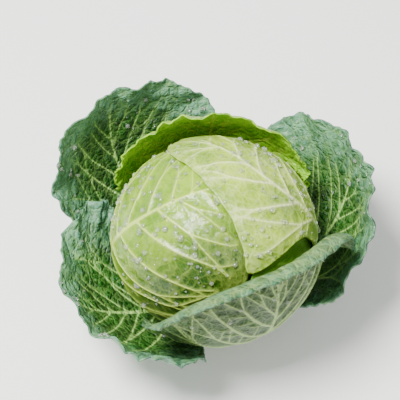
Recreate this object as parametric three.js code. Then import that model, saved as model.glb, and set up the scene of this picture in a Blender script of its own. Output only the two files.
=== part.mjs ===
import * as THREE from "three";

// White cabbage: a packed round heart on a cut stalk, four head leaves wrapped tight round it and
// five loose wrapper leaves that spread into a bowl. Millimetres, +Z up, the origin at the centre
// of the stalk's cut face, which is the face the cabbage rests on. The front is -Y.

// ---- driving dimensions ----
const HEAD_CENTRE_Z = 103; // height of the head's centre above the cut face
const HEAD_SQUASH = 0.94; // the head is a little flatter than it is wide
const HEART_RADIUS = 71.5;
const HEART_SEGMENTS = 26;
const HEART_RINGS = 16;
const STALK_PROFILE = [
  // [radius, height], from the cut face up to the heart
  [18.5, 0],
  [19.6, 1.6],
  [19.8, 18],
  [18.2, 25],
  [16.6, 29],
  [15, 32.5],
  [14.4, 35.3],
];
const STALK_SEGMENTS = 28;
const BLADE_THICKNESS = 1.5; // out at the margin
const BASE_THICKNESS = 2.3; // where the leaf joins the stalk
const MIDRIB_RISE = 0.9; // how far the midrib stands out of the outer side
const MIDRIB_SPREAD = 9; // half-width of the midrib's shoulder
const GRID_ROWS = 13;
const GRID_COLUMNS = 14;
const SPLINE_DIVISIONS = 400;
const LAST_ROW = 0.97; // how near the last row of the grid comes to the tip, as a share of a right angle
const DERIVATIVE_MM = 0.4;
const DERIVATIVE_U = 0.002;
const ROLL_FADE = 0.3; // share of the leaf's length over which a rolled margin comes in
const ROLL_APPROACH = 0.97; // where the blade's direction is read, just inside the rolled margin
const MARGIN_TURN = 0.75 * Math.PI; // the way round a margin from the tip to its base, in radians
const RUFFLE_RISE = 0.25; // share of the leaf's length over which the waves come in
const RUFFLE_LIMIT = 1.1; // the waves grow no further than this beyond the margin
const NEAR_MARGIN = 0.999; // the outward direction is read this near a margin
const NEAR_TIP = 0.998; // and this near the tip

// A leaf's midrib runs through the points [azimuth deg, elevation deg, distance mm] about the
// head's centre, from the stalk to the tip. width: half-width left and right of the midrib.
// widest: share of the length at which the blade is widest. blunt: how square the tip is, left and
// right. cup: radius of the cross-section at base, middle and tip. roll: how many degrees the
// margin turns outward on the left, at the tip and on the right, over rollWidth mm.
// ruffle and wave: height and length of the margin's waves.
const LEAVES = [
  {
    name: "head_leaf_back",
    colour: "#b9cc78",
    midrib: arcUp(100, 76, [-77, -50, -20, 10, 40, 70, 95]),
    width: [110, 110],
    cup: [76, 76, 76],
  },
  {
    name: "head_leaf_left",
    colour: "#a6c552",
    midrib: [
      [186, -76, 84],
      [187, -45, 85.5],
      [188, -10, 86],
      [190, 20, 85.5],
      [196, 45, 84.5],
      [198, 70, 83],
      [199, 92, 82.5],
      [196, 112, 82.5],
    ],
    width: [114, 138],
    widest: 0.6,
    blunt: [2.6, 2.6],
    cup: [81, 81, 81],
  },
  {
    name: "head_leaf_front",
    colour: "#7fa944",
    midrib: arcUp(-8, 84.7, [-76, -45, -20, 10, 35, 55]),
    width: [108, 90],
    widest: 0.6,
    blunt: [2.6, 2.6],
    cup: [84.7, 84.7, 84.7],
  },
  {
    name: "head_leaf_crown",
    colour: "#d2e0a0",
    midrib: [
      [0, -76, 89.6],
      [0, -45, 89.6],
      [-1, -12, 89.4],
      [-1, 15, 89],
      [0, 40, 88.4],
      [12, 58, 87.6],
      [48, 66, 86.8],
      [100, 55, 86.4],
      [121, 34, 86.4],
    ],
    width: [72, 74],
    widest: 0.6,
    blunt: [2.2, 3],
    cup: [89.4, 88.4, 86.4],
    // the left half narrows to a neck and widens again to a corner: [share of length, half-width]
    leftEdge: [
      [0, 12],
      [0.2, 15],
      [0.4, 17],
      [0.5, 18],
      [0.54, 34],
      [0.57, 66],
      [0.585, 78],
      [0.6, 80],
      [0.615, 72],
      [0.65, 60],
      [0.7, 48],
      [0.78, 42],
      [0.86, 36],
      [0.93, 27],
      [0.98, 14],
      [1, 0],
    ],
    rows: 20,
  },
  {
    name: "wrapper_leaf_front",
    colour: "#8fae7c",
    midrib: [
      [-60, -76, 93.4],
      [-60, -45, 95],
      [-60, -15, 95.5],
      [-58, 5, 95],
      [-54, 25, 95.5],
      [-48, 50, 99],
    ],
    width: [114, 105],
    widest: 0.52,
    petiole: 16,
    blunt: [2.7, 5],
    cup: [93.5, 95, 106],
    roll: [30, 140, 90],
    rollFrom: 0.45,
    rows: 18,
    columns: 18,
    crowd: 0.5,
  },
  {
    name: "wrapper_leaf_back",
    colour: "#6f9f2c",
    midrib: [
      [90, -76, 96],
      [90, -45, 97],
      [90, -10, 98],
      [90, 18, 102],
      [90, 39, 106],
    ],
    width: [102, 102],
    widest: 0.6,
    blunt: [2.6, 2.6],
    cup: [94, 100, 100],
    ruffle: 1.5,
    wave: 52,
    phase: 0.6,
  },
  {
    name: "wrapper_leaf_left",
    colour: "#2f6535",
    midrib: [
      [214, -78, 101],
      [214, -55, 103],
      [211, -35, 110],
      [208, -17, 123],
      [205, -3, 135],
    ],
    width: [112, 108],
    blunt: [2.4, 1.9],
    cup: [102, 114, 128],
    ruffle: 3,
    wave: 56,
    phase: 0.3,
  },
  {
    name: "wrapper_leaf_right",
    colour: "#2c6332",
    midrib: [
      [8, -78, 103],
      [8, -50, 106],
      [14, -25, 115],
      [22, -3, 129],
      [30, 15, 147],
    ],
    width: [82, 115],
    blunt: [2.2, 3],
    cup: [104, 138, 190],
    ruffle: 3,
    wave: 58,
    phase: 2.1,
  },
  {
    name: "wrapper_leaf_rear_left",
    colour: "#2a5f33",
    midrib: [
      [138, -78, 105],
      [137, -50, 110],
      [134, -25, 124],
      [130, -2, 141],
      [125, 15, 155],
    ],
    width: [104, 84],
    widest: 0.66,
    basePower: 1.8,
    cup: [116, 155, 190],
    ruffle: 3,
    wave: 60,
    phase: 4.4,
  },
];

const LEAF_DEFAULTS = {
  widest: 0.55,
  petiole: 14,
  basePower: 1.3,
  blunt: [2.4, 2.4],
  roll: [0, 0, 0],
  rollWidth: 36,
  rollFrom: 0.1,
  ruffle: 0,
  wave: 56,
  phase: 0,
  rows: GRID_ROWS,
  columns: GRID_COLUMNS,
  crowd: 0.25,
};

// ---- helpers ----
function arcUp(azimuth, radius, elevations) {
  return elevations.map((elevation) => [azimuth, elevation, radius]);
}

function clamp01(x) {
  return Math.min(1, Math.max(0, x));
}

// a value given at the base, the middle and the tip
function through3([base, middle, tip], u) {
  return base * 2 * (u - 0.5) * (u - 1) - middle * 4 * u * (u - 1) + tip * 2 * u * (u - 0.5);
}

// uniform cubic B-spline through evenly weighted controls, ending on the first and the last one
class Spline extends THREE.Curve {
  constructor(points) {
    super();
    const first = points[0].clone().multiplyScalar(2).sub(points[1]);
    const last = points.at(-1).clone().multiplyScalar(2).sub(points.at(-2));
    this.controls = [first, ...points, last];
    this.arcLengthDivisions = SPLINE_DIVISIONS;
  }

  getPoint(t, target = new THREE.Vector3()) {
    const spans = this.controls.length - 3;
    const x = clamp01(t) * spans;
    const i = Math.min(Math.floor(x), spans - 1);
    const f = x - i;
    const weights = [
      (1 - f) ** 3,
      3 * f ** 3 - 6 * f ** 2 + 4,
      -3 * f ** 3 + 3 * f ** 2 + 3 * f + 1,
      f ** 3,
    ];
    target.set(0, 0, 0);
    weights.forEach((weight, k) => target.addScaledVector(this.controls[i + k], weight / 6));
    return target;
  }
}

function polar([azimuth, elevation, radius]) {
  const a = THREE.MathUtils.degToRad(azimuth);
  const e = THREE.MathUtils.degToRad(elevation);
  return new THREE.Vector3(
    radius * Math.cos(e) * Math.cos(a),
    radius * Math.cos(e) * Math.sin(a),
    radius * Math.sin(e),
  );
}

// a curve whose azimuth, elevation and distance are splines, so its distance stays true
class Midrib extends THREE.Curve {
  constructor(stations) {
    super();
    this.stations = new Spline(stations.map((station) => new THREE.Vector3(...station)));
    this.arcLengthDivisions = SPLINE_DIVISIONS;
  }

  getPoint(t) {
    return polar(this.stations.getPoint(t).toArray());
  }
}

class Leaf {
  constructor(spec) {
    Object.assign(this, LEAF_DEFAULTS, spec);
    this.spine = new Midrib(this.midrib);
    this.length = this.spine.getLength();
    if (this.leftEdge) {
      const edge = new Spline(this.leftEdge.map(([u, w]) => new THREE.Vector3(u, w, 0)));
      this.leftSamples = edge.getPoints(SPLINE_DIVISIONS);
    }
  }

  // half-width of the blade at a share u of the length
  halfWidth(u, left) {
    if (left && this.leftSamples) {
      const k = Math.max(1, this.leftSamples.findIndex((p) => p.x >= u));
      const a = this.leftSamples[k - 1];
      const b = this.leftSamples[k];
      return a.y + (b.y - a.y) * clamp01((u - a.x) / (b.x - a.x));
    }
    const full = this.width[left ? 0 : 1];
    const blunt = this.blunt[left ? 0 : 1];
    if (u < this.widest) {
      const rise = Math.sin((Math.PI / 2) * clamp01(u / this.widest)) ** this.basePower;
      return this.petiole + (full - this.petiole) * rise;
    }
    const g = clamp01((u - this.widest) / (1 - this.widest));
    return full * (1 - g ** blunt) ** (1 / blunt);
  }

  // how far out (0 midrib, 1 margin) a place is, and where it lies round the margin in radians
  marginPlace(w, u) {
    const left = w < 0;
    const full = this.width[left ? 0 : 1];
    const blunt = this.blunt[left ? 0 : 1];
    const a = Math.abs(w);
    const g = Math.max(0, (u - this.widest) / (1 - this.widest));
    const low = u < this.widest;
    let out = low
      ? a / this.halfWidth(u, left)
      : ((a / full) ** blunt + g ** blunt) ** (1 / blunt);
    if (left && this.leftSamples) out = Math.max(g, a / Math.max(this.halfWidth(u, left), 1e-6));
    const round = low
      ? Math.PI / 2 + ((this.widest - u) * this.length) / full
      : Math.atan2(a / full, g);
    return { out, round: left ? -round : round, full };
  }

  // the blade before its margin is rolled: the place and the direction towards the head
  plainBlade(w, u) {
    const middle = this.spine.getPointAt(clamp01(u));
    const ahead = this.spine.getPointAt(Math.min(1, u + DERIVATIVE_U));
    const behind = this.spine.getPointAt(Math.max(0, u - DERIVATIVE_U));
    const along = ahead.sub(behind).normalize();
    const inward = middle.clone().negate();
    inward.addScaledVector(along, -inward.dot(along)).normalize();
    const across = new THREE.Vector3().crossVectors(inward, along);
    const bend = through3(this.cup.map((radius) => 1 / radius), u);
    const place = middle
      .clone()
      .addScaledVector(across, Math.sin(bend * w) / bend)
      .addScaledVector(inward, (1 - Math.cos(bend * w)) / bend);
    const normal = inward
      .clone()
      .multiplyScalar(Math.cos(bend * w))
      .addScaledVector(across, -Math.sin(bend * w));
    return { place, normal };
  }

  // a point of the blade's middle surface, w mm to the side of the midrib
  point(w, u) {
    const { out, round, full } = this.marginPlace(w, u);
    const meanWidth = (this.width[0] + this.width[1]) / 2;
    const rollStart = 1 - this.rollWidth / meanWidth;
    const low = u < this.widest;
    let { place, normal } = this.plainBlade(w, u);
    const turns = this.roll.some((angle) => angle !== 0);
    if (turns && out > rollStart) {
      const back = rollStart / out;
      const u0 = low ? u : this.widest + (u - this.widest) * back;
      const start = this.plainBlade(w * back, u0);
      const u1 = low ? u : this.widest + (u0 - this.widest) * ROLL_APPROACH;
      const before = this.plainBlade(w * back * ROLL_APPROACH, u1);
      const onward = start.place.clone().sub(before.place).normalize();
      onward.addScaledVector(start.normal, -onward.dot(start.normal)).normalize();
      const where = THREE.MathUtils.clamp(round / MARGIN_TURN, -1, 1);
      const fade = clamp01((u - this.rollFrom) / ROLL_FADE);
      const angle = THREE.MathUtils.degToRad(through3(this.roll, (where + 1) / 2)) * fade;
      const meanCup = (this.cup[0] + this.cup[1] + this.cup[2]) / 3;
      const curl = angle / this.rollWidth - 1 / meanCup;
      const run = (out - rollStart) * meanWidth;
      place = start.place
        .clone()
        .addScaledVector(onward, Math.sin(curl * run) / curl)
        .addScaledVector(start.normal, -(1 - Math.cos(curl * run)) / curl);
      normal = start.normal
        .clone()
        .multiplyScalar(Math.cos(curl * run))
        .addScaledVector(onward, Math.sin(curl * run));
    }
    if (this.ruffle) {
      const phase = (2 * Math.PI * round * full) / this.wave + this.phase;
      const swell = Math.min(out, RUFFLE_LIMIT) ** 3 * clamp01(u / RUFFLE_RISE);
      place = place.clone().addScaledVector(normal, this.ruffle * swell * Math.sin(phase));
    }
    place.z *= HEAD_SQUASH;
    return place;
  }

  // the outward direction, away from the head, from the surface itself
  outward(w, u) {
    const du = DERIVATIVE_U;
    const dw = DERIVATIVE_MM;
    const acrossLeaf = this.point(w + dw, u).sub(this.point(w - dw, u));
    const upLeaf = this.point(w, Math.min(1, u + du)).sub(this.point(w, Math.max(0, u - du)));
    return acrossLeaf.cross(upLeaf).normalize();
  }

  geometry() {
    const { rows, columns, widest } = this;
    const lowRows = Math.round(rows * Math.max(0.5, widest));
    const outer = [];
    const inner = [];
    for (let i = 0; i <= rows; i += 1) {
      const up = (i - lowRows) / (rows - lowRows);
      const u =
        i <= lowRows
          ? (widest * i) / lowRows
          : widest + (1 - widest) * Math.sin((Math.PI / 2) * LAST_ROW * up);
      for (let j = 0; j <= columns; j += 1) {
        const x = (2 * j) / columns - 1;
        const v = (1 - this.crowd) * x + this.crowd * Math.sin((Math.PI / 2) * x);
        const w = v * this.halfWidth(u, v < 0);
        const middle = this.point(w, u);
        const out = this.outward(w * NEAR_MARGIN, Math.min(u, NEAR_TIP));
        const thickness = BLADE_THICKNESS + (BASE_THICKNESS - BLADE_THICKNESS) * (1 - u) ** 3;
        const rib = MIDRIB_RISE * (1 - u) * Math.exp(-((w / MIDRIB_SPREAD) ** 2));
        outer.push(middle.clone().addScaledVector(out, thickness / 2 + rib));
        inner.push(middle.clone().addScaledVector(out, -thickness / 2));
      }
    }
    return closedShell(outer, inner, rows, columns);
  }
}

// two skins of (rows + 1) x (columns + 1) points and the rim that joins them
function closedShell(outer, inner, rows, columns) {
  const points = [...outer, ...inner];
  const backs = outer.length;
  const at = (i, j) => i * (columns + 1) + j;
  const faces = [];
  for (let i = 0; i < rows; i += 1) {
    for (let j = 0; j < columns; j += 1) {
      const [a, b, c, d] = [at(i, j), at(i, j + 1), at(i + 1, j + 1), at(i + 1, j)];
      faces.push([a, b, c], [a, c, d]);
      faces.push([a + backs, c + backs, b + backs], [a + backs, d + backs, c + backs]);
    }
  }
  const loop = [];
  for (let j = 0; j < columns; j += 1) loop.push(at(0, j));
  for (let i = 0; i < rows; i += 1) loop.push(at(i, columns));
  for (let j = columns; j > 0; j -= 1) loop.push(at(rows, j));
  for (let i = rows; i > 0; i -= 1) loop.push(at(i, 0));
  loop.forEach((a, k) => {
    const b = loop[(k + 1) % loop.length];
    faces.push([b, a, a + backs], [b, a + backs, b + backs]);
  });
  const geometry = new THREE.BufferGeometry().setFromPoints(points);
  geometry.setIndex(faces.flat());
  return geometry;
}

// ---- the cabbage ----
const cabbage = new THREE.Group();
cabbage.name = "white_cabbage";

function addPiece(name, geometry, colour, lift) {
  geometry.translate(0, 0, lift);
  geometry.computeVertexNormals();
  const material = new THREE.MeshStandardMaterial({ color: colour, roughness: 0.5 });
  material.name = name;
  const mesh = new THREE.Mesh(geometry, material);
  mesh.name = name;
  cabbage.add(mesh);
}

const stalkOutline = [
  [0, 0],
  ...STALK_PROFILE,
  [0, STALK_PROFILE.at(-1)[1]],
].map(([radius, height]) => new THREE.Vector2(radius, height));
const stalk = new THREE.LatheGeometry(stalkOutline, STALK_SEGMENTS);
stalk.rotateX(Math.PI / 2);
addPiece("stalk", stalk, "#d6dfb2", 0);

const heart = new THREE.SphereGeometry(HEART_RADIUS, HEART_SEGMENTS, HEART_RINGS);
heart.rotateX(Math.PI / 2);
heart.scale(1, 1, HEAD_SQUASH);
addPiece("heart", heart, "#e3e6b0", HEAD_CENTRE_Z);

for (const spec of LEAVES) {
  const leaf = new Leaf(spec);
  addPiece(spec.name, leaf.geometry(), spec.colour, HEAD_CENTRE_Z);
}

export default cabbage;
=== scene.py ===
import math

import bpy
import numpy as np
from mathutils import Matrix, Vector
from mathutils.bvhtree import BVHTree
from mathutils.geometry import delaunay_2d_cdt


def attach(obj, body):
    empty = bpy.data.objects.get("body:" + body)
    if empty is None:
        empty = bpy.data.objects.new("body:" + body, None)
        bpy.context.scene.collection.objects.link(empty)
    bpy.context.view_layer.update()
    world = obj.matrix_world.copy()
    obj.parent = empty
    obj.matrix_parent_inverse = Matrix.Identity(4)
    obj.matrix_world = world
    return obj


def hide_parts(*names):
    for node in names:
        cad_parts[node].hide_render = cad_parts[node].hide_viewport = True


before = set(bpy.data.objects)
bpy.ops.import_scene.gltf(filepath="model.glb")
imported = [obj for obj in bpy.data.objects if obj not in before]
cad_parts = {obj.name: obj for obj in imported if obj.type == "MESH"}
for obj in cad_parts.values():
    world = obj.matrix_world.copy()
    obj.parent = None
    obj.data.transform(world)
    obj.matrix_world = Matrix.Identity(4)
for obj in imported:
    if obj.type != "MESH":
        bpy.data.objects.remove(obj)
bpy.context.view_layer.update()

MM = 0.001

# ---- the shape rules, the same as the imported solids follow, in millimetres ----
HEAD_CENTRE = 103.0  # height of the head's centre above the cut face
HEAD_SQUASH = 0.94
SPLINE_SAMPLES = 1500
ROLL_FADE = 0.3  # share of the leaf's length over which a rolled margin comes in
ROLL_APPROACH = 0.97  # where the blade's direction is read, just inside the rolled margin
MARGIN_TURN = 0.75 * math.pi  # the way round a margin from the tip to its base, in radians
RUFFLE_RISE = 0.25  # share of the leaf's length over which the waves come in
RUFFLE_LIMIT = 1.1  # the waves grow no further than this beyond the margin
NEAR_TIP = 0.998  # the outward direction is read no nearer the tip than this


def arc_up(azimuth, radius, elevations):
    return [(azimuth, elevation, radius) for elevation in elevations]


LEAF_DEFAULTS = dict(
    widest=0.55, petiole=14.0, base_power=1.3, blunt=(2.4, 2.4), left_edge=None,
    roll=(0, 0, 0), roll_width=36.0, roll_from=0.1, ruffle=0.0, wave=56.0, phase=0.0,
)

# midrib stations are (azimuth deg, elevation deg, distance mm) about the head's centre
LEAVES = {
    "head_leaf_back": dict(
        midrib=arc_up(100, 76, (-77, -50, -20, 10, 40, 70, 95)),
        width=(110, 110), cup=(76, 76, 76)),
    "head_leaf_left": dict(
        midrib=[(186, -76, 84), (187, -45, 85.5), (188, -10, 86), (190, 20, 85.5),
                (196, 45, 84.5), (198, 70, 83), (199, 92, 82.5), (196, 112, 82.5)],
        width=(114, 138), widest=0.6, blunt=(2.6, 2.6), cup=(81, 81, 81)),
    "head_leaf_front": dict(
        midrib=arc_up(-8, 84.7, (-76, -45, -20, 10, 35, 55)),
        width=(108, 90), widest=0.6, blunt=(2.6, 2.6), cup=(84.7, 84.7, 84.7)),
    "head_leaf_crown": dict(
        midrib=[(0, -76, 89.6), (0, -45, 89.6), (-1, -12, 89.4), (-1, 15, 89), (0, 40, 88.4),
                (12, 58, 87.6), (48, 66, 86.8), (100, 55, 86.4), (121, 34, 86.4)],
        width=(72, 74), widest=0.6, blunt=(2.2, 3), cup=(89.4, 88.4, 86.4),
        left_edge=[(0, 12), (0.2, 15), (0.4, 17), (0.5, 18), (0.54, 34), (0.57, 66),
                   (0.585, 78), (0.6, 80), (0.615, 72), (0.65, 60), (0.7, 48), (0.78, 42),
                   (0.86, 36), (0.93, 27), (0.98, 14), (1, 0)]),
    "wrapper_leaf_front": dict(
        midrib=[(-60, -76, 93.4), (-60, -45, 95), (-60, -15, 95.5), (-58, 5, 95),
                (-54, 25, 95.5), (-48, 50, 99)],
        width=(114, 105), widest=0.52, petiole=16, blunt=(2.7, 5), cup=(93.5, 95, 106),
        roll=(30, 140, 90), roll_from=0.45),
    "wrapper_leaf_back": dict(
        midrib=[(90, -76, 96), (90, -45, 97), (90, -10, 98), (90, 18, 102), (90, 39, 106)],
        width=(102, 102), widest=0.6, blunt=(2.6, 2.6), cup=(94, 100, 100),
        ruffle=1.5, wave=52, phase=0.6),
    "wrapper_leaf_left": dict(
        midrib=[(214, -78, 101), (214, -55, 103), (211, -35, 110), (208, -17, 123),
                (205, -3, 135)],
        width=(112, 108), blunt=(2.4, 1.9), cup=(102, 114, 128), ruffle=3, wave=56, phase=0.3),
    "wrapper_leaf_right": dict(
        midrib=[(8, -78, 103), (8, -50, 106), (14, -25, 115), (22, -3, 129), (30, 15, 147)],
        width=(82, 115), blunt=(2.2, 3), cup=(104, 138, 190), ruffle=3, wave=58, phase=2.1),
    "wrapper_leaf_rear_left": dict(
        midrib=[(138, -78, 105), (137, -50, 110), (134, -25, 124), (130, -2, 141),
                (125, 15, 155)],
        width=(104, 84), widest=0.66, base_power=1.8, cup=(116, 155, 190),
        ruffle=3, wave=60, phase=4.4),
}

# how each leaf's surface is worked: veins = side veins a side; angles = how far they lean off the
# midrib at the base and at the tip; turn = degrees they turn per 100 mm; rib_half = their
# half-width at the base and at the tip; rise = how far a vein stands out; pucker = how far the
# blade swells between veins; frill = heights of the margin's two finer waves; scallop = depth of
# the margin's lobes; lengths in mm
SURFACE = {
    "head_leaf_back": dict(seed=11, veins=8, angles=(75, 40), turn=-30, pucker=0.5, rise=0.9),
    "head_leaf_left": dict(seed=23, veins=10, angles=(88, 55), turn=-28, pucker=0.9, rise=1.2,
                           frill=(0.6, 0.2), scallop=0.5, rib_half=(1.5, 0.7)),
    "head_leaf_front": dict(seed=31, veins=8, angles=(70, 40), turn=-20, pucker=0.5, rise=0.7),
    "head_leaf_crown": dict(seed=47, veins=9, angles=(46, 36), turn=34, pucker=0.9, rise=1.1,
                            frill=(0.9, 0.4), scallop=0.9, rib_half=(1.4, 0.6)),
    "wrapper_leaf_front": dict(seed=53, veins=9, angles=(66, 30), turn=-16, pucker=1.0, rise=1.5,
                               frill=(1.3, 0.6), scallop=1.2, midrib_half=4.2,
                               rib_half=(1.7, 0.8)),
    "wrapper_leaf_back": dict(seed=61, veins=10, angles=(56, 34), turn=-12, pucker=1.8, rise=0.9,
                              frill=(2.2, 0.7), scallop=1.8, rib_half=(1.2, 0.6)),
    "wrapper_leaf_left": dict(seed=71, veins=7, angles=(50, 30), turn=-14, pucker=2.1, rise=0.8,
                              frill=(2.6, 0.6), scallop=2.2, midrib_half=3.0),
    "wrapper_leaf_right": dict(seed=83, veins=7, angles=(44, 24), turn=-10, pucker=2.1, rise=0.8,
                               frill=(2.6, 0.6), scallop=2.2, midrib_half=3.0),
    "wrapper_leaf_rear_left": dict(seed=97, veins=7, angles=(46, 26), turn=-12, pucker=2.1,
                                   rise=0.8, frill=(2.6, 0.6), scallop=2.2, midrib_half=3.0),
}

FRILL_WAVES = (26.0, 11.0)  # mm along the margin
MARGIN_STEP = 1.7  # mm between points on a leaf's margin
GRID_STEP = 2.3  # mm between points on the open blade
CELL = 16.0  # mm, the squares in which points are matched with the veins near them
VEIN_REACH = 12.0  # mm, no vein is looked for further off than this
BLADE_THICKNESS = 1.2
BASE_THICKNESS = 2.3


def polar(stations):
    azimuth, elevation = np.radians(stations[:, 0]), np.radians(stations[:, 1])
    level = stations[:, 2] * np.cos(elevation)
    return np.stack([level * np.cos(azimuth), level * np.sin(azimuth),
                     stations[:, 2] * np.sin(elevation)], axis=1)


def spline(controls, t):
    """uniform cubic B-spline that ends on its first and last control"""
    c = np.asarray(controls, float)
    c = np.vstack([2 * c[0] - c[1], c, 2 * c[-1] - c[-2]])
    x = np.clip(t, 0, 1) * (len(c) - 3)
    i = np.minimum(x.astype(int), len(c) - 4)
    f = (x - i)[:, None]
    return ((1 - f) ** 3 * c[i] + (3 * f ** 3 - 6 * f ** 2 + 4) * c[i + 1]
            + (-3 * f ** 3 + 3 * f ** 2 + 3 * f + 1) * c[i + 2] + f ** 3 * c[i + 3]) / 6


def through3(values, u):
    base, middle, tip = values
    return base * 2 * (u - 0.5) * (u - 1) - middle * 4 * u * (u - 1) + tip * 2 * u * (u - 0.5)


def unit(v):
    return v / np.maximum(np.linalg.norm(v, axis=-1, keepdims=True), 1e-12)


class Leaf:
    """one leaf's middle surface: w mm to the side of the midrib, at a share u of its length"""

    def __init__(self, shape, surface):
        self.__dict__.update(LEAF_DEFAULTS, frill=(0.0, 0.0), scallop=0.0, midrib_half=4.5,
                             rib_half=(1.0, 0.45))
        self.__dict__.update(shape)
        self.__dict__.update(surface)
        t = np.linspace(0, 1, SPLINE_SAMPLES)
        line = polar(spline(self.midrib, t))
        run = np.r_[0, np.cumsum(np.linalg.norm(np.diff(line, axis=0), axis=1))]
        self.length = run[-1]
        self.u_table = t
        self.line = np.stack([np.interp(t * self.length, run, line[:, k]) for k in range(3)], 1)
        if self.left_edge:
            self.edge_table = spline(self.left_edge, t)

    def on_line(self, u):
        return np.stack([np.interp(u, self.u_table, self.line[:, k]) for k in range(3)], -1)

    def half_width(self, u, left):
        full = np.where(left, self.width[0], self.width[1])
        blunt = np.where(left, self.blunt[0], self.blunt[1])
        rise = np.sin(np.pi / 2 * np.clip(u / self.widest, 0, 1)) ** self.base_power
        g = np.clip((u - self.widest) / (1 - self.widest), 0, 1)
        half = np.where(u < self.widest, self.petiole + (full - self.petiole) * rise,
                        full * (1 - g ** blunt) ** (1 / blunt))
        if self.left_edge:
            own = np.interp(u, self.edge_table[:, 0], self.edge_table[:, 1])
            half = np.where(left, own, half)
        return half

    def margin_place(self, w, u):
        """how far out (0 midrib, 1 margin), and mm round the margin from the tip"""
        left = w < 0
        full = np.where(left, self.width[0], self.width[1]).astype(float)
        blunt = np.where(left, self.blunt[0], self.blunt[1])
        a = np.abs(w)
        g = np.clip((u - self.widest) / (1 - self.widest), 0, None)
        low = u < self.widest
        out = np.where(low, a / self.half_width(np.minimum(u, self.widest), left),
                       ((a / full) ** blunt + g ** blunt) ** (1 / blunt))
        if self.left_edge:
            own = np.maximum(g, a / np.maximum(self.half_width(u, left), 1e-6))
            out = np.where(left, own, out)
        turn = np.where(low, np.pi / 2 + (self.widest - u) * self.length / full,
                        np.arctan2(a / full, g))
        return out, np.where(left, -turn, turn), full

    def plain_blade(self, w, u):
        middle = self.on_line(u)
        du = 0.002
        along = unit(self.on_line(np.minimum(u + du, 1)) - self.on_line(np.maximum(u - du, 0)))
        inward = -middle
        inward = unit(inward - (inward * along).sum(-1, keepdims=True) * along)
        across = np.cross(inward, along)
        bend = through3([1 / radius for radius in self.cup], u)
        side = (np.sin(bend * w) / bend)[:, None]
        deep = ((1 - np.cos(bend * w)) / bend)[:, None]
        normal = inward * np.cos(bend * w)[:, None] - across * np.sin(bend * w)[:, None]
        return middle + across * side + inward * deep, normal

    def point(self, w, u):
        out, turn, full = self.margin_place(w, u)
        place, normal = self.plain_blade(w, u)
        if any(self.roll):
            mean_width = sum(self.width) / 2
            start_at = 1 - self.roll_width / mean_width
            back = np.minimum(1, start_at / np.maximum(out, 1e-6))
            low = u < self.widest
            u0 = np.where(low, u, self.widest + (u - self.widest) * back)
            start, start_normal = self.plain_blade(w * back, u0)
            u1 = np.where(low, u, self.widest + (u0 - self.widest) * ROLL_APPROACH)
            before, _ = self.plain_blade(w * back * ROLL_APPROACH, u1)
            onward = unit(start - before)
            onward = unit(onward - (onward * start_normal).sum(-1, keepdims=True) * start_normal)
            where = np.clip(turn / MARGIN_TURN, -1, 1)
            fade = np.clip((u - self.roll_from) / ROLL_FADE, 0, 1)
            angle = np.radians(through3(self.roll, (where + 1) / 2)) * fade
            curl = angle / self.roll_width - 1 / np.mean(self.cup)
            curl = np.where(np.abs(curl) < 1e-6, 1e-6, curl)
            run = np.maximum(out - start_at, 0) * mean_width
            rolled = (start + onward * (np.sin(curl * run) / curl)[:, None]
                      - start_normal * ((1 - np.cos(curl * run)) / curl)[:, None])
            rolled_normal = (start_normal * np.cos(curl * run)[:, None]
                             + onward * np.sin(curl * run)[:, None])
            beyond = (out > start_at)[:, None]
            place = np.where(beyond, rolled, place)
            normal = np.where(beyond, rolled_normal, normal)
        round_mm = turn * full
        out = np.minimum(out, RUFFLE_LIMIT)
        from_base = np.clip(u / RUFFLE_RISE, 0, 1)
        height = self.ruffle * out ** 3 * np.sin(2 * np.pi * round_mm / self.wave + self.phase)
        # the finer waves wander in length and height, so no two folds are alike
        drift = 1.3 * np.sin(round_mm / 23 + self.seed) + 0.8 * np.sin(round_mm / 11 + 2 * self.seed)
        swell = 0.65 + 0.35 * np.sin(round_mm / 31 + 3 * self.seed)
        first, second = self.frill
        long_wave, short_wave = FRILL_WAVES
        height = height + first * swell * out ** 6 * np.sin(2 * np.pi * round_mm / long_wave + drift)
        height = height + second * out ** 12 * np.sin(2 * np.pi * round_mm / short_wave + 2 * drift)
        place = place + normal * (height * from_base)[:, None]
        return place * [1, 1, HEAD_SQUASH]

    def outward(self, w, u):
        dw, du = 0.5, 0.003
        across = self.point(w + dw, u) - self.point(w - dw, u)
        along = self.point(w, np.minimum(u + du, 1)) - self.point(w, np.maximum(u - du, 0))
        return unit(np.cross(across, along))

    def outline(self):
        """the margin as an even run of (w, mm along) points, from the base's left end round"""
        low = np.linspace(0, self.widest, 200)
        round_tip = np.linspace(np.pi / 2, 0, 200)
        sides = []
        for left in (False, True):
            full, blunt = (self.width[0], self.blunt[0]) if left else (self.width[1], self.blunt[1])
            reach = (np.cos(round_tip) ** blunt + np.sin(round_tip) ** blunt) ** (-1 / blunt)
            w = np.r_[self.half_width(low, left), full * reach * np.sin(round_tip)]
            u = np.r_[low, self.widest + (1 - self.widest) * reach * np.cos(round_tip)]
            if left and self.left_edge:
                u = np.linspace(0, 1, 800)
                w = self.half_width(u, True)
            sides.append(np.stack([-w if left else w, u * self.length], 1))
        right, left = sides
        loop = np.vstack([right, left[::-1], right[:1]])
        run = np.r_[0, np.cumsum(np.linalg.norm(np.diff(loop, axis=0), axis=1))]
        count = int(run[-1] / MARGIN_STEP)
        at = np.linspace(0, run[-1], count, endpoint=False)
        rim = np.stack([np.interp(at, run, loop[:, k]) for k in range(2)], 1)
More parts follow.
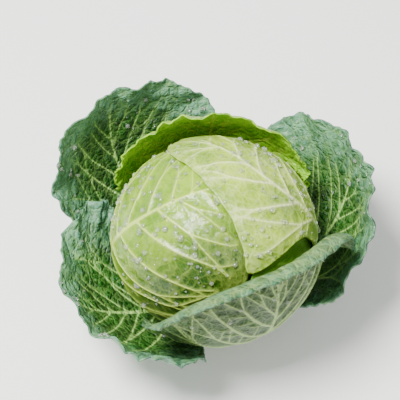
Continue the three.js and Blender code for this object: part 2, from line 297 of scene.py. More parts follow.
        # shallow lobes of uneven length nibble the margin
        drift = 1.5 * np.sin(at / 41 + self.seed) + 0.7 * np.sin(at / 17 + 3 * self.seed)
        lobes = 0.55 + 0.35 * np.sin(at / 3.4 + 2 * drift) + 0.10 * np.sin(at / 1.3 + drift)
        depth = self.scallop * lobes * np.clip(rim[:, 1] / (0.2 * self.length), 0, 1)
        middle = np.array([0, self.widest * self.length])
        return rim + unit(middle - rim) * depth[:, None]


# ---- veins ----
def grow_veins(leaf):
    """the leaf's veins as segments: start, end, half-width and rise, in flat (w, mm along)"""
    rng = np.random.default_rng(leaf.seed)
    length = leaf.length
    segments = []

    def out_at(w, along):
        if not 0 < along < length:
            return 1.0
        return float(leaf.margin_place(np.array([w]), np.array([along / length]))[0][0])

    def lay(points, halves, rises):
        for k in range(len(points) - 1):
            segments.append((*points[k], *points[k + 1], halves[k], rises[k]))

    def creep(w, along, lean, side, half, level, reach):
        """one vein, growing outward in short steps and forking as it nears the margin"""
        step = 3.0
        points, halves, rises = [(w, along)], [half], [leaf.rise * half ** 0.6]
        gone, next_twig = 0.0, rng.uniform(7, 14)
        fork_at = rng.uniform(0.42, 0.62) if level == 0 else rng.uniform(0.7, 0.84)
        turn = leaf.turn + rng.uniform(-6, 6)
        while gone < reach:
            lean += turn * step / 100 + rng.normal(0, 1.6)
            w += side * math.sin(math.radians(lean)) * step
            along += math.cos(math.radians(lean)) * step
            gone += step
            half *= 0.985 if level < 2 else 0.96
            out = out_at(w, along)
            if out > 0.965:
                break
            points.append((w, along))
            halves.append(half)
            rises.append(leaf.rise * half ** 0.6)
            if level < 2 and out > fork_at:
                spread = rng.uniform(13, 21)
                lay(points, halves, rises)
                creep(w, along, lean - spread, side, half * 0.78, level + 1, reach)
                creep(w, along, lean + spread, side, half * 0.7, level + 1, reach)
                return
            if level < 3 and gone > next_twig:
                next_twig += rng.uniform(9, 16)
                bend = rng.choice((-1, 1)) * rng.uniform(42, 62)
                creep(w, along, lean + bend, side, half * 0.42, 3, rng.uniform(12, 26))
        lay(points, halves, rises)

    along = np.linspace(0, 0.97 * length, 90)
    sway = 1.6 * np.sin(along / 31 + leaf.seed) * np.clip(along / 60, 0, 1)
    thin = 1 - along / length
    halves = 0.5 + (leaf.midrib_half - 0.5) * thin ** 1.5
    lay(list(zip(sway, along)), halves, leaf.rise * (0.35 + 1.1 * thin))
    for side in (-1, 1):
        for k in range(leaf.veins):
            share = (k + 0.5 + (0.25 if side > 0 else -0.15)) / leaf.veins
            start = (0.05 + 0.83 * share ** 0.95) * length + rng.uniform(-3, 3)
            lean = leaf.angles[0] + (leaf.angles[1] - leaf.angles[0]) * share + rng.uniform(-5, 5)
            first, last = leaf.rib_half
            half = (first + (last - first) * share) * rng.uniform(0.85, 1.1)
            creep(float(np.interp(start, along, sway)), start, lean, side, half, 0, 400)
    return np.array(segments)


def near_veins(points, segments):
    """for each flat point, mm to the nearest vein's side, how high and how stout the vein is"""
    gap = np.full(len(points), VEIN_REACH)
    stout = np.zeros(len(points))
    rise = np.zeros(len(points))
    ends = segments[:, :4].reshape(-1, 2, 2)
    low, high = ends.min(1) - VEIN_REACH, ends.max(1) + VEIN_REACH
    cells = np.floor(points / CELL).astype(int)
    for cell in np.unique(cells, axis=0):
        here = np.flatnonzero((cells == cell).all(1))
        near = ((low < (cell + 1) * CELL) & (high > cell * CELL)).all(1)
        if not near.any():
            continue
        a, ab = ends[near, 0], ends[near, 1] - ends[near, 0]
        half, stand = segments[near, 4], segments[near, 5]
        ap = points[here, None, :] - a
        t = np.clip((ap * ab).sum(2) / np.maximum((ab ** 2).sum(1), 1e-9), 0, 1)
        distance = np.linalg.norm(ap - t[..., None] * ab, axis=2)
        nearest = (distance - half).argmin(1)
        gap[here] = np.minimum((distance - half).min(1), VEIN_REACH)
        stout[here] = half[nearest]
        rise[here] = (np.exp(-(distance / (half * 1.05 + 0.35)) ** 2) * stand).max(1)
    return gap, rise, stout


# ---- meshes ----
def make_mesh(name, points_mm, faces, flat_mm=None, fields=None):
    mesh = bpy.data.meshes.new(name)
    mesh.vertices.add(len(points_mm))
    mesh.vertices.foreach_set("co", (np.asarray(points_mm) * MM).ravel())
    mesh.loops.add(faces.size)
    mesh.loops.foreach_set("vertex_index", faces.ravel())
    mesh.polygons.add(len(faces))
    mesh.polygons.foreach_set("loop_start", np.arange(0, faces.size, 3))
    mesh.polygons.foreach_set("use_smooth", np.ones(len(faces), bool))
    if flat_mm is not None:
        layer = mesh.uv_layers.new(name="leaf_flat")
        layer.uv.foreach_set("vector", (flat_mm[faces.ravel()] / 100).ravel())
    for key, values in (fields or {}).items():
        mesh.attributes.new(key, "FLOAT", "POINT").data.foreach_set("value", values)
    mesh.update(calc_edges=True)
    mesh.validate()
    obj = bpy.data.objects.new(name, mesh)
    bpy.context.collection.objects.link(obj)
    return obj


def flat_triangles(leaf, segments):
    """points and triangles over the flat leaf, closer together on the veins and the margin"""
    rim = leaf.outline()
    centre = np.array([0, leaf.widest * leaf.length])
    inner = [rim]
    for inset in (1.6, 3.4, 5.6):
        toward = np.where(rim[:, 1:] < centre[1], np.stack([0 * rim[:, 0], rim[:, 1]], 1), centre)
        reach = np.linalg.norm(rim - toward, axis=1, keepdims=True)
        ring = rim + (toward - rim) * np.minimum(inset / np.maximum(reach, 1e-6), 0.5)
        inner.append(ring[ring[:, 1] > 1.0])
    top = leaf.length
    wide = max(leaf.width) + 4
    columns = np.arange(-wide, wide, GRID_STEP)
    rows = np.arange(1.5, top, GRID_STEP * 0.87)
    grid = np.stack(np.meshgrid(columns, rows), -1)
    grid[1::2, :, 0] += GRID_STEP / 2
    grid = grid.reshape(-1, 2)
    rng = np.random.default_rng(leaf.seed + 1)
    grid += rng.uniform(-0.35, 0.35, grid.shape)
    out, _, full = leaf.margin_place(grid[:, 0], np.clip(grid[:, 1] / top, 0, 1))
    grid = grid[(out < 1 - 7.0 / full) & (grid[:, 1] < top)]
    gap, _, _ = near_veins(grid, segments)
    grid = grid[gap > 0.8]
    stout = segments[segments[:, 4] > 0.35]
    a, b, half = stout[:, :2], stout[:, 2:4], stout[:, 4:5]
    line = unit(b - a)
    normal = np.stack([-line[:, 1], line[:, 0]], 1)
    rails = [a, a + normal * half, a - normal * half]
    wide_ones = half[:, 0] > 2
    middle = (a + b) / 2
    rails += [middle[wide_ones] + s * normal[wide_ones] * half[wide_ones] * 0.5 for s in (-1, 1)]
    rails = np.vstack(rails)
    out, _, full = leaf.margin_place(rails[:, 0], np.clip(rails[:, 1] / top, 0, 1))
    rails = rails[(out < 1 - 6.0 / full) & (rails[:, 1] > 1.2)]
    points = np.vstack(inner + [grid, rails])
    edges = [(k, (k + 1) % len(rim)) for k in range(len(rim))]
    vectors = [Vector(p) for p in points]
    made, _, faces, *_ = delaunay_2d_cdt(vectors, edges, [], 1, 1e-4)
    points = np.array([tuple(p) for p in made])
    faces = np.array([f for f in faces if len(f) == 3])
    p, q, r = points[faces[:, 0]], points[faces[:, 1]], points[faces[:, 2]]
    area = (q - p)[:, 0] * (r - p)[:, 1] - (q - p)[:, 1] * (r - p)[:, 0]
    faces[area < 0] = faces[area < 0][:, ::-1]
    return points, faces[np.abs(area) > 1e-6]


def leaf_piece(name):
    leaf = Leaf(LEAVES[name], SURFACE[name])
    segments = grow_veins(leaf)
    flat, faces = flat_triangles(leaf, segments)
    w, u = flat[:, 0], np.clip(flat[:, 1] / leaf.length, 0, 1)
    gap, rise, stout = near_veins(flat, segments)
    middle = leaf.point(w, u)
    out_dir = leaf.outward(w, np.minimum(u, NEAR_TIP))
    out, _, full = leaf.margin_place(w, u)
    half = (BLADE_THICKNESS + (BASE_THICKNESS - BLADE_THICKNESS) * (1 - u) ** 3) / 2
    # the blade swells towards the head between its veins, fading out close to the margin
    blister = 0.5 + 0.5 * (np.sin(w / 3.1 + 1.7 * np.sin(flat[:, 1] / 9 + leaf.seed))
                           * np.sin(flat[:, 1] / 3.6 + 1.3 * np.sin(w / 8)))
    calm = np.clip((1 - out) * full / 4, 0, 1)
    swell = leaf.pucker * (1 - np.exp(-(np.maximum(gap, 0) / 3.5) ** 2)) * (0.3 + 0.9 * blister)
    middle = middle - out_dir * (swell * calm)[:, None]
    fade = np.clip((1 - out) * full / 6, 0, 1)
    outer = middle + out_dir * (half + rise * fade)[:, None]
    inner = middle - out_dir * (half - 0.25 * rise * fade)[:, None]
    count = len(flat)
    directed = np.vstack([faces[:, [0, 1]], faces[:, [1, 2]], faces[:, [2, 0]]])
    keys = set(map(tuple, directed))
    rim = np.array([(a, b) for a, b in keys if (b, a) not in keys])
    a, b = rim[:, 0], rim[:, 1]
    walls = np.vstack([np.stack([b, a, a + count], 1), np.stack([b, a + count, b + count], 1)])
    all_faces = np.vstack([faces, faces[:, ::-1] + count, walls])
    points = np.vstack([outer, inner]) + [0, 0, HEAD_CENTRE]
    fields = {
        "vein_gap": np.tile(np.clip(gap, -3, 12), 2),
        "vein_size": np.tile(np.clip(stout, 0, 2), 2),
        "margin": np.tile(np.clip(out, 0, 1), 2),
        "along": np.tile(u, 2),
        "upper_side": np.r_[np.zeros(count), np.ones(count)],
    }
    obj = make_mesh(name + "_blade", points, all_faces, np.tile(flat, (2, 1)), fields)
    return obj, (outer + [0, 0, HEAD_CENTRE], inner + [0, 0, HEAD_CENTRE], faces)


# ---- materials ----
def shade(hex_colour, alpha=1.0):
    """an sRGB hex colour as linear RGBA"""
    parts = [int(hex_colour[k:k + 2], 16) / 255 for k in (1, 3, 5)]
    return [c / 12.92 if c <= 0.04045 else ((c + 0.055) / 1.055) ** 2.4 for c in parts] + [alpha]


def add(tree, kind, ins=None, out=0, **settings):
    """a node with its settings; ins maps a socket's name or number to a link or a value"""
    node = tree.nodes.new(kind)
    for key, value in settings.items():
        setattr(node, key, value)
    for key, value in (ins or {}).items():
        if isinstance(value, bpy.types.NodeSocket):
            tree.links.new(value, node.inputs[key])
        else:
            node.inputs[key].default_value = value
    return node.outputs[out] if len(node.outputs) else node


def new_material(name):
    material = bpy.data.materials.new(name)
    material.use_nodes = True
    material.node_tree.nodes.clear()
    return material, material.node_tree


def leaf_tissue(name, look):
    """Living leaf: a soft satin skin of wax over green flesh. Pale stout veins fork towards the
    margin, a fine net of veinlets closes between them, and the wax bloom greys the outer parts."""
    material, tree = new_material(name)
    gap = add(tree, "ShaderNodeAttribute", attribute_name="vein_gap", out=2)
    margin = add(tree, "ShaderNodeAttribute", attribute_name="margin", out=2)
    along = add(tree, "ShaderNodeAttribute", attribute_name="along", out=2)
    upper = add(tree, "ShaderNodeAttribute", attribute_name="upper_side", out=2)
    flat = add(tree, "ShaderNodeUVMap", uv_map="leaf_flat")
    mm = add(tree, "ShaderNodeVectorMath", {0: flat, "Scale": 100.0}, operation="SCALE")
    wander = add(tree, "ShaderNodeTexNoise", {"Vector": mm, "Scale": 1 / 14, "Detail": 2.0}, out=1)
    wander = add(tree, "ShaderNodeVectorMath", {0: wander, 1: (0.5, 0.5, 0.5)}, operation="SUBTRACT")
    wander = add(tree, "ShaderNodeVectorMath", {0: wander, "Scale": 9.0}, operation="SCALE")
    bent = add(tree, "ShaderNodeVectorMath", {0: mm, 1: wander}, operation="ADD")
    # veinlets: a net about 9 mm across and a finer one about 3.6 mm across
    wide_net = add(tree, "ShaderNodeTexVoronoi", {"Vector": bent, "Scale": 1 / 9.0},
                   feature="DISTANCE_TO_EDGE")
    fine_net = add(tree, "ShaderNodeTexVoronoi", {"Vector": bent, "Scale": 1 / 3.6},
                   feature="DISTANCE_TO_EDGE")
    wide_line = add(tree, "ShaderNodeMapRange",
                    {0: wide_net, 1: 0.0, 2: 0.10, 3: look["net"], 4: 0.0},
                    interpolation_type="SMOOTHSTEP")
    fine_line = add(tree, "ShaderNodeMapRange",
                    {0: fine_net, 1: 0.0, 2: 0.16, 3: look["net"] * 0.6, 4: 0.0},
                    interpolation_type="SMOOTHSTEP")
    mottle = add(tree, "ShaderNodeTexNoise",
                 {"Vector": mm, "Scale": 1 / 34, "Detail": 5.0, "Roughness": 0.6})
    mottle = add(tree, "ShaderNodeMapRange", {0: mottle, 1: 0.36, 2: 0.64},
                 interpolation_type="SMOOTHSTEP")
    blade = add(tree, "ShaderNodeMix", {0: mottle, 6: shade(look["deep"]), 7: shade(look["light"])},
                out=2, data_type="RGBA")
    if "side" in look:  # one half of the blade shades off into a darker green: partly the leaf's own deeper colour, partly painted shade
        colour, low, high = look["side"]
        across = add(tree, "ShaderNodeSeparateXYZ", {0: mm})
        # this mask lays the darker green, part deeper colour and part painted shade, over the lower
        # half
        part = add(tree, "ShaderNodeMapRange", {0: across, 1: low, 2: high},
                   interpolation_type="SMOOTHSTEP")
        blade = add(tree, "ShaderNodeMix", {0: part, 6: blade, 7: shade(colour)}, out=2,
                    data_type="RGBA")
    under = add(tree, "ShaderNodeMapRange", {0: upper, 3: look["under"], 4: 0.0})
    blade = add(tree, "ShaderNodeMix", {0: under, 6: blade, 7: shade(look["under_colour"])}, out=2,
                data_type="RGBA")
    heel = add(tree, "ShaderNodeMapRange", {0: along, 1: 0.05, 2: look["heel"], 3: 0.9, 4: 0.0},
               interpolation_type="SMOOTHSTEP")
    blade = add(tree, "ShaderNodeMix", {0: heel, 6: blade, 7: shade(look["heel_colour"])}, out=2,
                data_type="RGBA")
    clouds = add(tree, "ShaderNodeTexNoise", {"Vector": mm, "Scale": 1 / 11, "Detail": 4.0})
    clouds = add(tree, "ShaderNodeMapRange", {0: clouds, 1: 0.42, 2: 0.58})
    up_leaf = add(tree, "ShaderNodeMapRange", {0: along, 1: 0.2, 2: 0.75, 3: 0.35, 4: 1.0})
    outer = add(tree, "ShaderNodeMapRange", {0: margin, 1: look["bloom_from"], 2: 1.0},
                interpolation_type="SMOOTHSTEP")
    outer = add(tree, "ShaderNodeMath", {0: outer, 1: up_leaf}, operation="MULTIPLY")
    bloom = add(tree, "ShaderNodeMath", {0: clouds, 1: 0.45}, operation="ADD")
    bloom = add(tree, "ShaderNodeMath", {0: bloom, 1: outer}, operation="MULTIPLY")
    bloom = add(tree, "ShaderNodeMath", {0: bloom, 1: look["bloom"]}, operation="MULTIPLY",
                use_clamp=True)
    blade = add(tree, "ShaderNodeMix", {0: bloom, 6: blade, 7: shade(look["bloom_colour"])}, out=2,
                data_type="RGBA")
    halo = add(tree, "ShaderNodeMapRange", {0: gap, 1: 0.0, 2: 2.6, 3: look["halo"], 4: 0.0},
               interpolation_type="SMOOTHSTEP")
    for line in (wide_line, fine_line, halo):
        blade = add(tree, "ShaderNodeMix", {0: line, 6: blade, 7: shade(look["vein"])}, out=2,
                    data_type="RGBA")
    vein = add(tree, "ShaderNodeMapRange", {0: gap, 1: -0.35, 2: 0.35, 3: look["vein_mix"], 4: 0.0},
               interpolation_type="SMOOTHSTEP")
    size = add(tree, "ShaderNodeAttribute", attribute_name="vein_size", out=2)
    size = add(tree, "ShaderNodeMapRange", {0: size, 1: 0.15, 2: 0.8, 3: 0.35, 4: 1.0})
    vein = add(tree, "ShaderNodeMath", {0: vein, 1: size}, operation="MULTIPLY")
    faint = add(tree, "ShaderNodeMapRange", {0: bloom, 3: 1.0, 4: 0.35})
    vein = add(tree, "ShaderNodeMath", {0: vein, 1: faint}, operation="MULTIPLY")
    blade = add(tree, "ShaderNodeMix", {0: vein, 6: blade, 7: shade(look["vein"])}, out=2,
                data_type="RGBA")
    # the cells of the net stand up as blisters on the upper side and sink on the under side
    dome = add(tree, "ShaderNodeMapRange", {0: wide_net, 1: 0.0, 2: 0.32},
               interpolation_type="SMOOTHSTEP")
    small_dome = add(tree, "ShaderNodeMapRange", {0: fine_net, 1: 0.0, 2: 0.32, 4: 0.45},
                     interpolation_type="SMOOTHSTEP")
    height = add(tree, "ShaderNodeMath", {0: dome, 1: small_dome}, operation="ADD")
    sign = add(tree, "ShaderNodeMapRange", {0: upper, 3: -1.0, 4: 1.0})
    height = add(tree, "ShaderNodeMath", {0: height, 1: sign}, operation="MULTIPLY")
    bump = add(tree, "ShaderNodeBump",
               {"Height": height, "Strength": look["blister"], "Distance": 1.3 * MM})
    rough = add(tree, "ShaderNodeMapRange", {0: bloom, 3: look["rough"], 4: look["rough"] + 0.16})
    skin = add(tree, "ShaderNodeBsdfPrincipled", {
        "Base Color": blade, "Roughness": rough, "Normal": bump, "IOR": 1.42,
        "Specular IOR Level": 0.45, "Coat Weight": look["wet"], "Coat Roughness": 0.25,
        "Sheen Weight": look["sheen"], "Sheen Roughness": 0.45})
    add(tree, "ShaderNodeOutputMaterial", {"Surface": skin})
    return material


LOOKS = {
    # head leaf seen from outside: yellow-green, paler towards the crown and darker low down, where
    # the dark is partly its own deeper colour and partly painted shade
    "waxy_head_leaf": dict(
        deep="#578406", light="#84aa12", side=("#143c02", 2, 70), under=0.0,
        under_colour="#7fa040", heel=0.3, heel_colour="#b3c46a", bloom=0.2, bloom_from=0.6,
        bloom_colour="#93b046", vein="#bcd460", vein_mix=0.9, halo=0.2, net=0.10, blister=0.25,
        rough=0.3, wet=0.3, sheen=0.0),
    "inner_head_leaf": dict(
        deep="#437a12", light="#649a26", under=0.0, under_colour="#5f8a3a", heel=0.3,
        heel_colour="#c3cf8a", bloom=0.15, bloom_from=0.6, bloom_colour="#6f9548", vein="#83ab46",
        vein_mix=0.6, halo=0.15, net=0.10, blister=0.2, rough=0.38, wet=0.2, sheen=0.0),
    # the palest leaf, folded over the crown, with near-white veins
    "pale_crown_leaf": dict(
        deep="#6f960e", light="#a3c22c", under=0.0, under_colour="#a5bf5c", heel=0.3,
        heel_colour="#ccd6a0", bloom=0.2, bloom_from=0.6, bloom_colour="#adc672", vein="#dcea9a",
        vein_mix=0.9, halo=0.22, net=0.18, blister=0.35, rough=0.34, wet=0.25, sheen=0.0),
    # under side of an outer leaf: grey-green with thick whitish ribs
    "bloomed_leaf_underside": dict(
        deep="#0f3605", light="#244f10", under=0.0, under_colour="#244f10", heel=0.25,
        heel_colour="#8aa562", bloom=0.9, bloom_from=0.62, bloom_colour="#3c6a4a",
        vein="#9fbb70", vein_mix=0.95, halo=0.18, net=0.2, blister=0.7, rough=0.45, wet=0.1,
        sheen=0.0),
    # hood leaf behind the head: its bright yellow-green is partly its own colour and partly painted
    # light shining through the thin blade
    "hood_leaf_painted_backlight": dict(
        deep="#55a804", light="#98da12", under=0.75, under_colour="#4f7a34", heel=0.3,
        heel_colour="#7fa046", bloom=0.5, bloom_from=0.75, bloom_colour="#84b820", vein="#c4dc58",
        vein_mix=0.85, halo=0.15, net=0.25, blister=0.8, rough=0.4, wet=0.12, sheen=0.0),
    # outermost leaves: deep green inside the bowl, grey-blue bloom towards the frilled margin
    "deep_wrapper_leaf": dict(
        deep="#002e00", light="#034c03", under=0.8, under_colour="#345f3a", heel=0.28,
        heel_colour="#4f8030", bloom=1.15, bloom_from=0.42, bloom_colour="#588a6e",
        vein="#9ccb6a", vein_mix=0.95, halo=0.12, net=0.16, blister=0.9, rough=0.4, wet=0.15,
        sheen=0.0),
}

LEAF_LOOK = {
    "head_leaf_back": ("inner_head_leaf", "head_leaf"),
    "head_leaf_left": ("waxy_head_leaf", "head_leaf"),
    "head_leaf_front": ("inner_head_leaf", "head_leaf"),
    "head_leaf_crown": ("pale_crown_leaf", "crown_leaf"),
    "wrapper_leaf_front": ("bloomed_leaf_underside", "grey_wrapper_leaf"),
    "wrapper_leaf_back": ("hood_leaf_painted_backlight", "bright_wrapper_leaf"),
    "wrapper_leaf_left": ("deep_wrapper_leaf", "dark_wrapper_leaf"),
    "wrapper_leaf_right": ("deep_wrapper_leaf", "dark_wrapper_leaf"),
    "wrapper_leaf_rear_left": ("deep_wrapper_leaf", "dark_wrapper_leaf"),
}

tissues = {name: leaf_tissue(name, look) for name, look in LOOKS.items()}

skins = {}
for node_name, (look_name, slot_name) in LEAF_LOOK.items():
    blade_piece, skins[node_name] = leaf_piece(node_name)
    blade_piece.data.materials.append(tissues[look_name])
    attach(blade_piece, "root")
    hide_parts(node_name)

# ---- the cut stalk and the heart ----
STALK_PROFILE = ((18.5, 0), (19.6, 1.6), (19.8, 18), (18.2, 25), (16.6, 29), (15, 32.5), (14.4, 35.3))
STALK_SEGMENTS = 72
STALK_RINGS = 48


def stalk_piece():
    """the sawn-off stalk: a shallow dish of a cut face and crescent scars of shed leaves"""
    profile = np.array(STALK_PROFILE, float)
    angle = np.linspace(0, 2 * np.pi, STALK_SEGMENTS, endpoint=False)
    rings = []
    for share in np.linspace(0.12, 0.97, 8):
        dish = 0.5 * (1 - share ** 2) + 0.12 * np.sin(5 * angle + 7 * share) * (1 - share)
        rings.append((profile[0, 0] * share + 0 * angle, dish))
    for height in np.linspace(0, profile[-1, 1], STALK_RINGS):
        radius = np.interp(height, profile[:, 1], profile[:, 0])
        scars = sum(np.exp(-((height - 5 - 5.2 * k - 1.6 * np.cos(angle - 2.4 * k)) / 0.7) ** 2)
                    * np.clip(np.cos(angle - 2.4 * k), 0, 1) for k in range(5))
        flute = 0.16 * np.sin(9 * angle + height / 6) * min(1, height / 4)
        rings.append((radius - 0.2 + flute + 0.42 * scars * min(1, height / 4), 0 * angle + height))
    points = [np.stack([r * np.cos(angle), r * np.sin(angle), z], 1) for r, z in rings]
    top = profile[-1, 1]
    points = np.vstack(points + [[[0, 0, 0.55], [0, 0, top]]])
    n, faces = STALK_SEGMENTS, []
    foot, cap, last = len(points) - 2, len(points) - 1, (len(rings) - 1) * n
    for k in range(n):
        after = (k + 1) % n
        faces += [(foot, after, k), (cap, last + k, last + after)]
        for ring in range(len(rings) - 1):
            a, b = ring * n + k, ring * n + after
            faces += [(a, b, b + n), (a, b + n, a + n)]
    return make_mesh("cut_stalk", points, np.array(faces))


def stalk_flesh():
    """Cut stalk: cream pith, a greener ring of vessels, a drying brown edge and fibrous sides."""
    material, tree = new_material("cut_stalk_flesh")
    place = add(tree, "ShaderNodeTexCoord", out=3)
    mm = add(tree, "ShaderNodeVectorMath", {0: place, "Scale": 1000.0}, operation="SCALE")
    parts = tree.nodes.new("ShaderNodeSeparateXYZ")
    tree.links.new(mm, parts.inputs[0])
    level = add(tree, "ShaderNodeCombineXYZ", {0: parts.outputs[0], 1: parts.outputs[1]})
    radius = add(tree, "ShaderNodeVectorMath", {0: level}, operation="LENGTH", out=1)
    wander = add(tree, "ShaderNodeTexNoise", {"Vector": mm, "Scale": 1 / 4.0, "Detail": 4.0})
    rings = add(tree, "ShaderNodeMath", {0: wander, 1: 2.2, 2: radius}, operation="MULTIPLY_ADD")
    vessels = add(tree, "ShaderNodeMapRange", {0: rings, 1: 12.6, 2: 14.6},
                  interpolation_type="SMOOTHSTEP")
    flesh = add(tree, "ShaderNodeMix", {0: vessels, 6: shade("#cfd3a4"), 7: shade("#9fb070")},
                out=2, data_type="RGBA")
    dry = add(tree, "ShaderNodeMapRange", {0: rings, 1: 17.8, 2: 19.4},
              interpolation_type="SMOOTHSTEP")
    flesh = add(tree, "ShaderNodeMix", {0: dry, 6: flesh, 7: shade("#8d7f4c")}, out=2,
                data_type="RGBA")
    stretch = add(tree, "ShaderNodeVectorMath", {0: mm, 1: (1.0, 1.0, 0.16)},
                  operation="MULTIPLY")
    fibres = add(tree, "ShaderNodeTexNoise", {"Vector": stretch, "Scale": 1 / 1.4, "Detail": 3.0})
    side = add(tree, "ShaderNodeMix", {0: fibres, 6: shade("#7f9a4a"), 7: shade("#c2cc92")},
               out=2, data_type="RGBA")
    up_side = add(tree, "ShaderNodeMapRange", {0: parts.outputs[2], 1: 0.6, 2: 2.2},
                  interpolation_type="SMOOTHSTEP")
    colour = add(tree, "ShaderNodeMix", {0: up_side, 6: flesh, 7: side}, out=2,
                 data_type="RGBA")
    bump = add(tree, "ShaderNodeBump", {"Height": fibres, "Strength": 0.5, "Distance": 0.5 * MM})
    skin = add(tree, "ShaderNodeBsdfPrincipled", {
        "Base Color": colour, "Roughness": 0.55, "Normal": bump, "IOR": 1.4})
    add(tree, "ShaderNodeOutputMaterial", {"Surface": skin})
    return material


def packed_heart_leaf():
    """The pale packed leaves inside: cream-green folds with faint forking veins."""
    material, tree = new_material("packed_heart_leaf")
    place = add(tree, "ShaderNodeTexCoord", out=3)
    mm = add(tree, "ShaderNodeVectorMath", {0: place, "Scale": 1000.0}, operation="SCALE")
    mottle = add(tree, "ShaderNodeTexNoise", {"Vector": mm, "Scale": 1 / 22, "Detail": 5.0})
    veins = add(tree, "ShaderNodeTexVoronoi", {"Vector": mm, "Scale": 1 / 13.0},
                feature="DISTANCE_TO_EDGE")
    line = add(tree, "ShaderNodeMapRange", {0: veins, 1: 0.0, 2: 0.09, 3: 0.7, 4: 0.0},
               interpolation_type="SMOOTHSTEP")
    blade = add(tree, "ShaderNodeMix", {0: mottle, 6: shade("#5a7a22"), 7: shade("#8aa648")},
                out=2, data_type="RGBA")
    blade = add(tree, "ShaderNodeMix", {0: line, 6: blade, 7: shade("#b3c77a")}, out=2,
                data_type="RGBA")
    bump = add(tree, "ShaderNodeBump", {"Height": line, "Strength": 0.4, "Distance": 0.8 * MM})
    skin = add(tree, "ShaderNodeBsdfPrincipled", {
        "Base Color": blade, "Roughness": 0.42, "Normal": bump, "IOR": 1.4})
    add(tree, "ShaderNodeOutputMaterial", {"Surface": skin})
    return material


stalk = stalk_piece()
stalk.data.materials.append(stalk_flesh())
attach(stalk, "root")
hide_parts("stalk")

heart_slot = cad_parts["heart"].material_slots[0]
heart_slot.link = "OBJECT"
heart_slot.material = packed_heart_leaf()

# ---- water drops ----
# drops a square cm on each wet side, and whether that side is the leaf's outer one
WET_LEAVES = {
    "head_leaf_left": (2.3, True),
    "head_leaf_crown": (1.6, True),
    "wrapper_leaf_front": (0.5, True),
    "wrapper_leaf_back": (0.2, False),
    "wrapper_leaf_left": (0.5, False),
    "wrapper_leaf_right": (0.5, False),
    "wrapper_leaf_rear_left": (0.5, False),
}
COVER_START, COVER_REACH = 1.6, 40.0  # mm off a leaf within which another leaf shelters it
DROP_SEED = 5


def water():
    """Rain water: clear, but for a near-white share left by the partial transmission, which is
    painted glint.
    """
    material, tree = new_material("rain_water")
    ripple = add(tree, "ShaderNodeTexNoise", {"Scale": 900.0, "Detail": 1.0})
    bump = add(tree, "ShaderNodeBump", {"Height": ripple, "Strength": 0.05, "Distance": 0.1 * MM})
    # the near-white base colour, showing where the drop does not transmit, paints the drops' glints
    body = add(tree, "ShaderNodeBsdfPrincipled", {
        "Base Color": shade("#fbfff6"), "Roughness": 0.03, "IOR": 1.333, "Normal": bump,
        "Specular IOR Level": 0.8, "Transmission Weight": 0.86})
    add(tree, "ShaderNodeOutputMaterial", {"Surface": body})
    return material


def drop_tree(material):
    """scatters flattened beads over a mesh, thickest where its wetness is greatest"""
    tree = bpy.data.node_groups.new("water_drops", "GeometryNodeTree")
    face = tree.interface
    face.new_socket("Leaf", in_out="INPUT", socket_type="NodeSocketGeometry")
    for name, value in (("Drops per m2", 10000.0), ("Smallest mm", 0.6), ("Largest mm", 2.7)):
        face.new_socket(name, in_out="INPUT", socket_type="NodeSocketFloat").default_value = value
    face.new_socket("Seed", in_out="INPUT", socket_type="NodeSocketInt")
    face.new_socket("Drops", in_out="OUTPUT", socket_type="NodeSocketGeometry")
    given = tree.nodes.new("NodeGroupInput").outputs
    wetness = add(tree, "GeometryNodeInputNamedAttribute", {"Name": "wetness"}, data_type="FLOAT")
    density = add(tree, "ShaderNodeMath", {0: wetness, 1: given["Drops per m2"]},
                  operation="MULTIPLY")
    scatter = tree.nodes.new("GeometryNodeDistributePointsOnFaces")
    tree.links.new(given["Leaf"], scatter.inputs["Mesh"])
    tree.links.new(density, scatter.inputs["Density"])
    tree.links.new(given["Seed"], scatter.inputs["Seed"])
    bead = add(tree, "GeometryNodeMeshUVSphere", {"Segments": 9, "Rings": 6, "Radius": 1.0})
    bead = add(tree, "GeometryNodeTransform",
               {"Geometry": bead, "Translation": (0, 0, 0.3), "Scale": (1, 1, 0.7)})
    chance = add(tree, "FunctionNodeRandomValue", {"Seed": given["Seed"]}, out=1,
                 data_type="FLOAT")
    rare = add(tree, "ShaderNodeMath", {0: chance, 1: 2.6}, operation="POWER")
    radius = add(tree, "ShaderNodeMapRange",
                 {0: rare, 3: given["Smallest mm"], 4: given["Largest mm"]})
    metres = add(tree, "ShaderNodeMath", {0: radius, 1: MM}, operation="MULTIPLY")
    beads = add(tree, "GeometryNodeInstanceOnPoints",
                {"Points": scatter.outputs["Points"], "Instance": bead,
                 "Rotation": scatter.outputs["Rotation"], "Scale": metres})
    whole = add(tree, "GeometryNodeRealizeInstances", {"Geometry": beads})
    smooth = add(tree, "GeometryNodeSetShadeSmooth", {"Geometry": whole})
    done = add(tree, "GeometryNodeSetMaterial", {"Geometry": smooth})
    tree.nodes["Set Material"].inputs["Material"].default_value = material
    tree.links.new(done, tree.nodes.new("NodeGroupOutput").inputs[0])
    return tree


def open_places(points, normals, cover):
    """1 where nothing shelters a leaf and it faces upward, fading to 0 on its steep parts"""
    wet = np.clip((normals[:, 2] + 0.15) / 0.6, 0, 1)
    for k in np.flatnonzero(wet > 0):
        start = Vector(points[k] + normals[k] * COVER_START)
        if cover.ray_cast(start, Vector(normals[k]), COVER_REACH)[0] is not None:
            wet[k] = 0
    return wet


def shelter():
    points, faces, count = [], [], 0
    for outer, _, leaf_faces in skins.values():
        points.append(outer)
        faces.append(leaf_faces + count)
        count += len(outer)
    return BVHTree.FromPolygons(np.vstack(points).tolist(), np.vstack(faces).tolist())


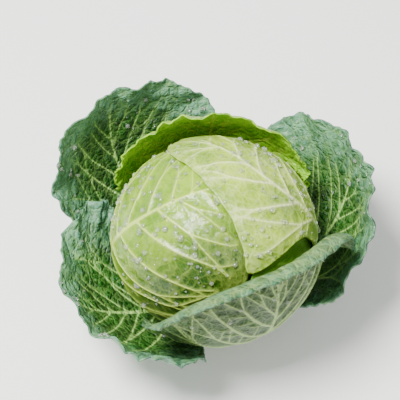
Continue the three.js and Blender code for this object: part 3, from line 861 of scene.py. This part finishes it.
def wet_leaf(name, per_cm2, outer_side, tree, cover):
    outer, inner, faces = skins[name]
    points = outer if outer_side else inner
    if not outer_side:
        faces = faces[:, ::-1]
    carrier = make_mesh(name + "_wet_side", points, faces)
    normals = np.zeros(len(points) * 3)
    carrier.data.vertex_normals.foreach_get("vector", normals)
    wet = open_places(points, normals.reshape(-1, 3), cover)
    carrier.data.attributes.new("wetness", "FLOAT", "POINT").data.foreach_set("value", wet)
    modifier = carrier.modifiers.new("water_drops", "NODES")
    modifier.node_group = tree
    sockets = {item.name: item.identifier for item in tree.interface.items_tree
               if item.in_out == "INPUT"}
    modifier[sockets["Drops per m2"]] = per_cm2 * 1e4
    modifier[sockets["Seed"]] = DROP_SEED + SURFACE[name]["seed"]
    evaluated = carrier.evaluated_get(bpy.context.evaluated_depsgraph_get())
    mesh = bpy.data.meshes.new_from_object(evaluated)
    mesh.name = "water_drops_on_" + name
    carrier.modifiers.remove(modifier)
    bpy.data.objects.remove(carrier)
    drops = bpy.data.objects.new(mesh.name, mesh)
    bpy.context.collection.objects.link(drops)
    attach(drops, "root")


drops_tree = drop_tree(water())
cover = shelter()
for wet_name, (per_cm2, outer_side) in WET_LEAVES.items():
    wet_leaf(wet_name, per_cm2, outer_side, drops_tree, cover)

# ---- floor, light, camera ----
floor_mesh = bpy.data.meshes.new("studio_floor")
floor_mesh.from_pydata([(-3, -3, 0), (3, -3, 0), (3, 3, 0), (-3, 3, 0)], [], [(0, 1, 2, 3)])
floor = bpy.data.objects.new("studio_floor", floor_mesh)
bpy.context.collection.objects.link(floor)
paper, paper_tree = new_material("pale_studio_paper")
paper_skin = add(paper_tree, "ShaderNodeBsdfPrincipled",
                 {"Base Color": shade("#fcfcfb"), "Roughness": 0.9})
add(paper_tree, "ShaderNodeOutputMaterial", {"Surface": paper_skin})
floor.data.materials.append(paper)


def soft_light(name, place, aim, size, power, colour):
    light = bpy.data.lights.new(name, "AREA")
    light.shape = "DISK"
    light.size = size
    light.energy = power
    light.color = colour
    lamp = bpy.data.objects.new(name, light)
    lamp.location = place
    lamp.rotation_euler = (Vector(aim) - Vector(place)).to_track_quat("-Z", "Y").to_euler()
    bpy.context.collection.objects.link(lamp)


HEAD = (0, 0, HEAD_CENTRE * MM)
soft_light("key_light", (-0.55, -0.05, 1.6), HEAD, 0.6, 70, (1.0, 0.99, 0.96))
soft_light("front_fill", (0.6, -1.4, 1.2), HEAD, 1.2, 5, (0.96, 0.98, 1.0))
world = bpy.data.worlds.new("studio_air")
bpy.context.scene.world = world
world.use_nodes = True
world.node_tree.nodes["Background"].inputs["Color"].default_value = (1, 1, 1, 1)
world.node_tree.nodes["Background"].inputs["Strength"].default_value = 0.72

CAMERA_ELEVATION = math.radians(60)
CAMERA_DISTANCE = 1.2
FIELD_WIDTH = 0.344  # metres seen across at the head
AIM_RIGHT, AIM_UP = -0.0103, 0.0301
SENSOR = 36.0
camera_data = bpy.data.cameras.new("studio_camera")
camera_data.sensor_width = SENSOR
camera_data.lens = SENSOR * CAMERA_DISTANCE / FIELD_WIDTH
camera = bpy.data.objects.new("studio_camera", camera_data)
forward = Vector((0, math.cos(CAMERA_ELEVATION), -math.sin(CAMERA_ELEVATION)))
rightward = Vector((1, 0, 0))
upward = rightward.cross(forward)
aim_point = Vector(HEAD) + rightward * AIM_RIGHT + upward * AIM_UP
camera.location = aim_point - forward * CAMERA_DISTANCE
camera.rotation_euler = forward.to_track_quat("-Z", "Y").to_euler()
bpy.context.collection.objects.link(camera)
bpy.context.scene.camera = camera
